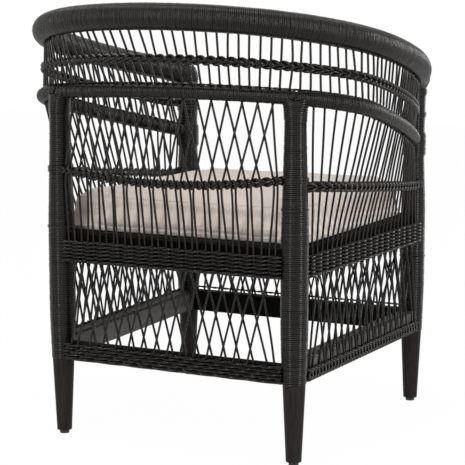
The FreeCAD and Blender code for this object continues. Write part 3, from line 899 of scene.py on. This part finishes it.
def build_arms():
    """Stakes from the mid rail to the top rail, and the plait half way up."""
    last = mid_hoop.length - neck_radius - strand - edge_gap
    count = int(last / arm_stake_pitch)
    cane = Cane()
    points = []
    ways = []
    ring = np.linspace(math.radians(arm_hook), 0.0, 10)[:, None]
    for index in range(count):
        distance = (index + 0.5) * last / count
        lean = arm_stake_lean * math.sin(math.pi * (distance / last) ** arm_lean_skew)
        foot, line = mid_hoop.at(distance)
        head = top_hoop.at(distance * top_hoop.length / mid_hoop.length + lean)[0]
        way = unit(head - foot)
        rise = unit(way - line * np.dot(way, line))
        inward = np.cross(line, rise)
        hook = foot + (rise * np.cos(ring) + inward * np.sin(ring)) * (mid_radius + strand * hook_stand)
        start = hook[-1] + way * hook_lead
        end = head - way * (top_radius - stake_sink) + jitter(arm_play)
        path = np.concatenate((hook + jitter(hook_play), bowed(start, end, jitter(arm_play))))
        cane.sweep(path, round_section(strand), line)
        points.append(foot + (head - foot) * upper_braid_level)
        ways.append(way)
    cane.pair("arm_canes", "arm_stakes")
    row = Cane()
    points.append(front_leg + UP * points[-1][2])
    ways.append(ways[-1])
    both = [opposite(point) for point in reversed(points)] + points
    leans = [opposite(way) for way in reversed(ways)] + ways
    plait(row, both, leans, strand, plait_cane, plait_climb, hand=1)
    row.piece("upper_plait", "upper_braid")


def crowded(place, travel, limit, last):
    """End of a slanted cane, turned aside where a leg stands in its way."""
    return min(place + travel, limit - strand_crowding * (last - place) / lattice_pitch)


def lattice_ends(half_width, run, pair):
    """Top and bottom places of the crossed canes that lean one way."""
    limit = half_width - strand
    count = int((2 * limit - 2 * pair) / lattice_pitch) + 1
    tops = [(index - (count - 1) / 2) * lattice_pitch - pair for index in range(count)]
    return [(top, crowded(top, run, limit, tops[-1])) for top in tops]


def back_braid_point(x, half_width):
    """Point of the line of the back plait."""
    share = 1 - (x / half_width) ** 2
    bulge = back_braid_end + (back_braid_bulge - back_braid_end) * share
    return np.array((x, rear_leg_y + bulge, back_braid_height - back_braid_sag * share))


def build_back():
    """Crossed canes under the mid rail, the back plait and the stakes down to the seat band."""
    half_width = rear_leg_x - neck_radius - edge_gap
    feet = []
    for name, lean, depth in (("outer", 1, back_layer), ("inner", -1, -back_layer)):
        cane = Cane()
        for top, bottom in lattice_ends(half_width, back_lattice_run, back_lattice_pair):
            head = mid_hoop.at_x(lean * top)[0]
            foot = back_braid_point(lean * bottom, half_width)
            way = unit(foot - head)
            shift = REARWARD * depth
            start = head + way * (mid_radius - stake_sink) + shift + jitter(end_play)
            path = bowed(start, foot + shift * layer_close, jitter(bow_play) * back_bow)
            cane.sweep(path, round_section(strand), REARWARD)
            feet.append((lean * bottom, way))
        cane.piece(f"back_crossed_canes_{name}", f"back_lattice_{name}")
    feet.sort(key=lambda foot: foot[0])
    seat_half = rear_leg_x - belly_radius - edge_gap
    cane = Cane()
    points = []
    for index, (x, way) in enumerate(feet):
        head = back_braid_point(x, half_width)
        across = seat_half * (2 * index / (len(feet) - 1) - 1)
        foot = np.array((across, rear_leg_y + stake_offset, seat_rail_bottom + tuck))
        drop = head[2] - foot[2]
        leave = way * drop * back_ease + jitter(back_lean_play)
        arrive = -UP * drop * band_ease + jitter(back_lean_play)
        cane.sweep(eased(head, leave, foot, arrive), round_section(strand), REARWARD)
        points.append(head)
    cane.piece("back_canes", "back_stakes")
    row = Cane()
    end = rear_leg + (*back_plait_end, back_braid_height)
    points = [opposite(end)] + points + [end]
    plait(row, points, [UP] * len(points), back_layer, plait_cane, plait_climb, hand=1)
    row.piece("back_plait", "back_braid")


def side_of_chair(start, end):
    """Directions along and out of the side between two legs, and its length."""
    along = unit(end - start)
    return along, np.cross(along, UP), np.linalg.norm(end - start)


def build_sides():
    """Stakes from the seat band to the mid rail at the sides, and the side plaits."""
    along, out, span = side_of_chair(front_leg, rear_leg)
    top_start = post_distance + side_stake_margin
    top_span = mid_hoop.length - side_stake_margin - top_start
    foot_span = span - 2 * side_stake_margin
    cane = Cane()
    points = []
    ways = []
    for index in range(side_stake_count):
        share = index / (side_stake_count - 1)
        head = mid_hoop.at(top_start + top_span * share)[0]
        place = rear_leg - along * (side_stake_margin + foot_span * share)
        foot = place + out * stake_offset + UP * seat_band_top
        way = unit(head - foot)
        knot = foot + (head - foot) * side_braid_level
        low = foot - UP * (seat_band_top - seat_rail_bottom - tuck)
        drop = knot[2] - low[2]
        arrive = way * drop * side_ease + jitter(side_lean_play)
        lower = eased(low, UP * drop * band_ease, knot, arrive, count=10)
        end = head - way * (mid_radius - stake_sink) + jitter(end_play)
        upper = bowed(knot, end, jitter(bow_play), count=9)
        cane.sweep(np.concatenate((lower, upper[1:])), round_section(strand), along)
        points.append(knot)
        ways.append(way)
    cane.pair("side_canes", "side_stakes")
    row = Cane()
    behind, outside, rise = side_plait_front
    rear_end = rear_leg + out * side_plait_rear + UP * points[0][2]
    front_end = front_leg + along * behind + out * outside + UP * (points[-1][2] + rise)
    ends = [rear_end] + points + [front_end]
    ways = ways[:1] + ways + ways[-1:]
    plait(row, ends, ways, strand, plait_cane * side_plait_size, plait_climb * side_plait_size, hand=-1)
    bound = Line((front_end, points[-1], points[-2]))
    coil(row, bound, 0.0, side_tie_length, 2 * plait_cane, tie_cane, side_tie_turns)
    row.pair("side_plait", "side_braid")


def band(start, end, thickness, bottom, rows, height, pitch, drift):
    """Twined rows on the outer face of a rail, each a drift after the one below, and their lower rim."""
    along, out, length = side_of_chair(start, end)
    offset = thickness / 2 + weave_depth + weaver_stand * weaver
    travel = np.arange(band_inset, length - band_inset, weaver_step)
    base = start + np.outer(travel, along)
    up = np.tile(UP, (len(travel), 1))
    cane = Cane()
    for row in range(rows):
        level = bottom + (row + 0.5) * height
        wave = row_wave * np.sin(travel * row_wave_rate + row * row_wave_shift)
        wave = wave + chance.normal(0, row_play, len(travel))
        path = base + out * offset + UP * level + np.outer(smooth(wave), UP)
        middle = length / 2 - band_inset + row * drift
        twist(cane, path, up, pitch, weave_depth, weaver_lift, weaver, middle)
    path = base + out * (offset + rim_depth) + UP * (bottom + rim_cane)
    twist(cane, path, up, 2 * pitch, rim_depth, rim_lift, rim_cane)
    return cane


def border(start, end):
    """Thick plait along the foot of the crossed canes at a side."""
    along, out, length = side_of_chair(start, end)
    count = round(length / (lattice_pitch / 2))
    level = binding_start + row_offset(border_cane, border_climb) + border_cane + border_climb
    base = start + out * (bottom_rail_thickness / 2 + border_cane) + UP * level
    points = [base + along * distance for distance in np.linspace(band_inset, length - band_inset, count)]
    cane = Cane()
    plait(cane, points, [UP] * count, strand, border_cane, border_climb, hand=-1)
    return cane


def rim(cane, start, end, offset, level, radius):
    """Twisted pair along the top edge of a bottom board."""
    along, out, length = side_of_chair(start, end)
    inset = belly_radius - tuck
    travel = np.arange(inset, length - inset, line_step)
    path = start + np.outer(travel, along) + out * offset + UP * level
    up = np.tile(UP, (len(path), 1))
    twist(cane, path, up, board_rim_pitch, radius * board_rim_depth, radius * board_rim_lift, radius)


def skirt(start, end):
    """Crossed canes from the seat band to the bottom band, in two layers."""
    along, out, length = side_of_chair(start, end)
    middle = (start + end) / 2
    half_width = length / 2 - belly_radius - edge_gap
    top_offset = seat_rail_thickness / 2 + strand + rest_gap
    foot_offset = bottom_rail_thickness / 2 + strand + rest_gap
    cane = Cane()
    for lean, depth in ((1, 0.0), (-1, 2 * strand + rest_gap)):
        for top, bottom in lattice_ends(half_width, skirt_run, skirt_pair):
            head = middle + along * (lean * top) + out * (top_offset + depth)
            head = head + UP * (seat_rail_bottom + tuck)
            foot = middle + along * (lean * bottom) + out * (foot_offset + depth)
            foot = foot + UP * (skirt_foot - tuck)
            bow = along * (chance.normal(0.0, skirt_bow_play) + skirt_bow * lean)
            bow = bow + out * chance.normal(0.0, skirt_out_play)
            path = bowed(head + along * chance.normal(0, skirt_end_play), foot, bow)
            cane.sweep(path, round_section(strand), out)
    return cane


def build_skirts():
    """Seat band, crossed canes and bottom band on all four sides."""
    half = bottom_rail_thickness / 2
    sides = {"front": (opposite(front_leg), front_leg), "rear": (rear_leg, opposite(rear_leg)),
             "left": (front_leg, rear_leg)}
    for name, (start, end) in sides.items():
        seat = band(start, end, seat_rail_thickness, seat_rail_bottom, seat_band_rows,
                    row_height, lattice_pitch, drift=0)
        if name == "left":
            bottom = border(start, end)
        else:
            bottom = band(start, end, bottom_rail_thickness, binding_start, bottom_band_rows,
                          fine_row_height, long_pitch, row_drift)
        crossed = skirt(start, end)
        if name == "front":
            rim(crossed, start, end, half - rim_cane, bottom_rail_top + front_rim_rise, rim_cane)
        if name == "left":
            size = rim_cane * side_rim_size
            rim(crossed, start, end, half, bottom_rail_top + side_rim_rise, size)
            rim(crossed, start, end, -half - rim_cane, bottom_rail_top - side_rim_drop, size)
        pieces = (("seat_weave", "seat_band", seat), ("skirt_canes", "skirt_lattice", crossed),
                  ("bottom_weave", "bottom_band", bottom))
        for piece, node, cane in pieces:
            if name == "left":
                cane.pair(piece, node)
            else:
                cane.piece(f"{piece}_{name}", f"{node}_{name}")


# Cushion

def vertex_points(mesh):
    """Vertices of a mesh as an array."""
    points = np.empty(len(mesh.vertices) * 3)
    mesh.vertices.foreach_get("co", points)
    return points.reshape(-1, 3)


def flatten(mesh):
    """Shrink the block of the cushion so that it can swell back to its size."""
    points = vertex_points(mesh)
    middle = (points.min(0) + points.max(0)) / 2
    half = (points.max(0) - points.min(0)) / 2
    points = middle + (points - middle) * ((half - slack_inset) / half)
    levels = (points[:, 2] - points[:, 2].min()) / np.ptp(points[:, 2])
    points[:, 2] = cushion_bottom + slack_height * levels
    mesh.vertices.foreach_set("co", points.ravel())


def evaluated_mesh(piece):
    """Mesh of an object with its modifiers applied."""
    graph = bpy.context.evaluated_depsgraph_get()
    return bpy.data.meshes.new_from_object(piece.evaluated_get(graph))


def inflate(pad, frames=20):
    """Points of a pad that is swollen with air while its underside is held down."""
    held = pad.vertex_groups.new(name="underside")
    low = vertex_points(pad.data)[:, 2].min()
    held.add([v.index for v in pad.data.vertices if v.co.z < low + held_height], 1.0, "REPLACE")
    cloth = pad.modifiers.new("swell", "CLOTH")
    cloth.settings.use_pressure = True
    cloth.settings.uniform_pressure_force = air_pressure
    cloth.settings.vertex_group_mass = "underside"
    cloth.settings.effector_weights.gravity = 0.0
    cloth.settings.quality = 6
    for step in range(1, frames + 1):
        bpy.context.scene.frame_set(step)
    swollen = evaluated_mesh(pad)
    pad.modifiers.clear()
    bpy.context.scene.frame_set(1)
    return vertex_points(swollen)


def even_block():
    """Block of the foam, shrunk, with an even mesh."""
    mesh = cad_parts["cushion_foam"].data.copy()
    flatten(mesh)
    block = add_object("seat_cushion", mesh)
    remesh = block.modifiers.new("even", "REMESH")
    remesh.mode = "VOXEL"
    remesh.voxel_size = mesh_cell
    even = evaluated_mesh(block)
    bpy.data.objects.remove(block)
    even.name = "seat_cushion"
    return even


def build_cushion():
    """Stuffed linen cushion with seams and a closed zip placket at the rear."""
    mesh = even_block()
    pad = add_piece("seat_cushion", mesh, linen, "linen", "cushion", "cushion_cover", "cushion_foam")
    start = vertex_points(mesh)
    target = inflate(pad)
    move = target - start
    size = np.linalg.norm(move, axis=1, keepdims=True)
    points = start + move * np.minimum(1.0, most_swell / np.maximum(size, 1e-9))
    points[:, 2] = np.maximum(points[:, 2], cushion_bottom)
    mesh.vertices.foreach_set("co", points.ravel())
    mesh.update()
    wrinkle(mesh)
    mesh.shade_smooth()
    soft = pad.modifiers.new("soft", "SUBSURF")
    soft.levels = 1
    soft.render_levels = 1
    build_seams(mesh)


def crease(place, across, upright, width, shift=0.0):
    """1 in the middle of an upright crease and 0 away from it; the creases are so many for each metre."""
    value = noise.noise(Vector((place.x * across, place.y * across, place.z * upright + shift)))
    return math.exp(-(value / width) ** 2)


def wrinkle(mesh):
    """Upright creases in the walls and soft dents all over, fading out at the underside."""
    for vertex in mesh.vertices:
        normal = vertex.normal
        place = vertex.co
        wide = crease(place, across=30, upright=7, width=0.13)
        fine = crease(place, across=75, upright=16, width=0.16, shift=4)
        fold = (1.0 - abs(normal.z)) * (wide + 0.5 * fine)
        dent = noise.noise(place * dent_rate)
        share = min(1.0, max(0.0, (place.z - cushion_bottom) / crease_fade))
        vertex.co = place + normal * share * (dent_depth * dent - crease_depth * fold)
    mesh.update()


def wall_points(tree, plan, level):
    """Points of the cushion's wall at a level, found from outside along its plan."""
    reach = 0.03
    found = []
    for point, out in plan:
        start = Vector((*(point + out * reach), level))
        hit = tree.ray_cast(start, Vector((*-out, 0.0)), 2 * reach)[0]
        if hit:
            found.append(np.array(hit))
    return np.array(found)


def cushion_plan(step=0.006):
    """Points and outward directions round the cushion, notched at the front legs."""
    half = cushion_width / 2
    tongue = front_leg_x - belly_radius - cushion_gap
    notch = front_leg_y + belly_radius + cushion_gap
    front = front_leg_y - cushion_front
    right = [(half, cushion_rear_y), (half, notch), (tongue, notch), (tongue, front)]
    corners = np.array([(-x, y) for x, y in right[::-1]] + right)
    plan = []
    for corner, after in zip(np.roll(corners, 1, axis=0), corners):
        run = after - corner
        length = np.linalg.norm(run)
        out = np.array((-run[1], run[0])) / length
        for distance in np.arange(step, length - step / 2, step):
            plan.append((corner + run * distance / length, out))
    return plan


def build_seams(mesh):
    """Piped seams round the top and bottom of the cushion, and the stitched placket of its zip."""
    corners = [vertex.co for vertex in mesh.vertices]
    tree = BVHTree.FromPolygons(corners, [face.vertices for face in mesh.polygons])
    plan = cushion_plan()
    piping = Cane()
    for level in (cushion_bottom + lower_seam, cushion_bottom + cushion_thickness - upper_seam):
        loop = wall_points(tree, plan, level)
        piping.sweep(np.concatenate((loop, loop[:2])), round_section(piping_radius), UP)
    piping.piece("cushion_piping", finish=linen, slot="linen", body="cushion")
    across = np.linspace(-zip_length / 2, zip_length / 2, 2 * stitches)
    strip = [(np.array((x, cushion_rear_y)), REARWARD[:2]) for x in across]
    placket = Cane()
    folds = wall_points(tree, strip, cushion_bottom + zip_height) + REARWARD * stitch_radius
    flap = np.array(((-0.5, -1.0), (0.5, -1.0), (0.5, 1.0), (-0.5, 1.0))) * (placket_width, placket_fold)
    placket.sweep(folds, flap, REARWARD)
    for level in (-stitch_line, stitch_line):
        row = folds + REARWARD * 2 * stitch_radius + UP * (level * placket_width)
        for first, last in zip(row[::2], row[1::2]):
            placket.sweep(np.linspace(first, last, 3), round_section(stitch_radius, sides=5), REARWARD)
    placket.piece("cushion_placket", "cushion_zip", finish=thread, slot="zip", body="cushion")


# Nodes of the frame that show as they are

def dress_nodes():
    """Give every node that still shows its finish; a longer start of a name goes over a shorter one."""
    finishes = {"leg_front": leg_wood, "leg_rear": leg_wood, "leg_glides": glide, "top_rail": pole_wood,
                "mid_rail": pole_wood, "arm_dowels": pole_wood, "post_dowels": pole_wood,
                "bottom_rail_front": shaded_board_wood, "bottom_rail_rear": shaded_board_wood, "bottom_rail": lit_board_wood,
                "seat_rail": shaded_rail_wood, "seat_cleat": shaded_board_wood, "seat_slats": lit_board_wood,
                "seat_canes": seat_cane}
    for start in sorted(finishes, key=len):
        for name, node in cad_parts.items():
            if name.startswith(start):
                node.data.materials.clear()
                node.data.materials.append(finishes[start])


# Room

def build_room():
    """Pale floor, soft lamps and a white surround."""
    floor_mesh = bpy.data.meshes.new("floor")
    corners = [(x * floor_reach, y * floor_reach, 0) for x, y in ((-1, -1), (1, -1), (1, 1), (-1, 1))]
    floor_mesh.from_pydata(corners, [], [(0, 1, 2, 3)])
    floor = add_object("floor", floor_mesh)
    floor_mesh.materials.append(floor_finish())
    world = bpy.data.worlds.new("surround")
    bpy.context.scene.world = world
    world.use_nodes = True
    surround = Nodes(world.node_tree)
    background = surround.tree.nodes["Background"]
    surround.join(background.inputs["Color"], (1, 1, 1, 1))
    surround.join(background.inputs["Strength"], surround.seen() * (1 - surround_light) + surround_light)
    add_lamp("right_strip", place=(-2.30, 0.55, 1.15), width=0.30, height=2.0, watts=34.0)
    add_lamp("left_strip", place=(0.50, 2.72, 1.35), width=0.30, height=2.0, watts=31.0)
    add_lamp("far_box", place=(-1.25, -2.70, 1.05), width=0.35, height=0.9, watts=12.0)
    add_lamp("top_box", place=(0.2, 0.6, 2.9), width=0.9, height=0.9, watts=22.0)


def floor_finish():
    """White floor that keeps a light shadow."""
    floor = Finish("pale_floor")
    floor.shade(Base_Color=(0.96, 0.96, 0.96, 1), Roughness=0.9, Specular_IOR_Level=0.0)
    glow = floor.node("ShaderNodeEmission", {}, {"Color": (1, 1, 1, 1), "Strength": 1.0})
    surface = Value(floor, floor.shader.outputs[0])
    both = floor.node("ShaderNodeMixShader", {}, {0: floor.seen() * floor_glow, 1: surface, 2: glow})
    floor.join(floor.tree.nodes["Material Output"].inputs["Surface"], both)
    return floor.material


def add_lamp(name, place, width, height, watts):
    """Soft lamp that points at the middle of the chair."""
    data = bpy.data.lights.new(name, "AREA")
    data.shape = "RECTANGLE"
    data.size = width
    data.size_y = height
    data.energy = watts
    lamp = add_object(name, data)
    lamp.location = place
    aim = Vector(lamp_aim) - Vector(place)
    lamp.rotation_euler = aim.to_track_quat("-Z", "Y").to_euler()


def build_camera():
    """Camera behind the right rear leg, about as high as the top rail."""
    azimuth = math.radians(camera_azimuth)
    elevation = math.radians(camera_elevation)
    level = math.cos(elevation)
    back = Vector((math.sin(azimuth) * level, -math.cos(azimuth) * level, math.sin(elevation)))
    data = bpy.data.cameras.new("camera")
    data.sensor_width = camera_sensor
    data.lens = camera_lens
    camera = add_object("camera", data)
    camera.location = Vector(camera_target) + back * camera_distance
    camera.rotation_euler = back.to_track_quat("Z", "Y").to_euler()
    bpy.context.scene.camera = camera


dress_nodes()
build_leg_wraps()
build_top_wrap()
build_mid_wrap()
build_shoulders()
build_ties()
build_rail_twine()
build_arms()
build_back()
build_sides()
build_skirts()
build_cushion()
build_room()
build_camera()
bpy.context.scene.view_settings.view_transform = "Standard"
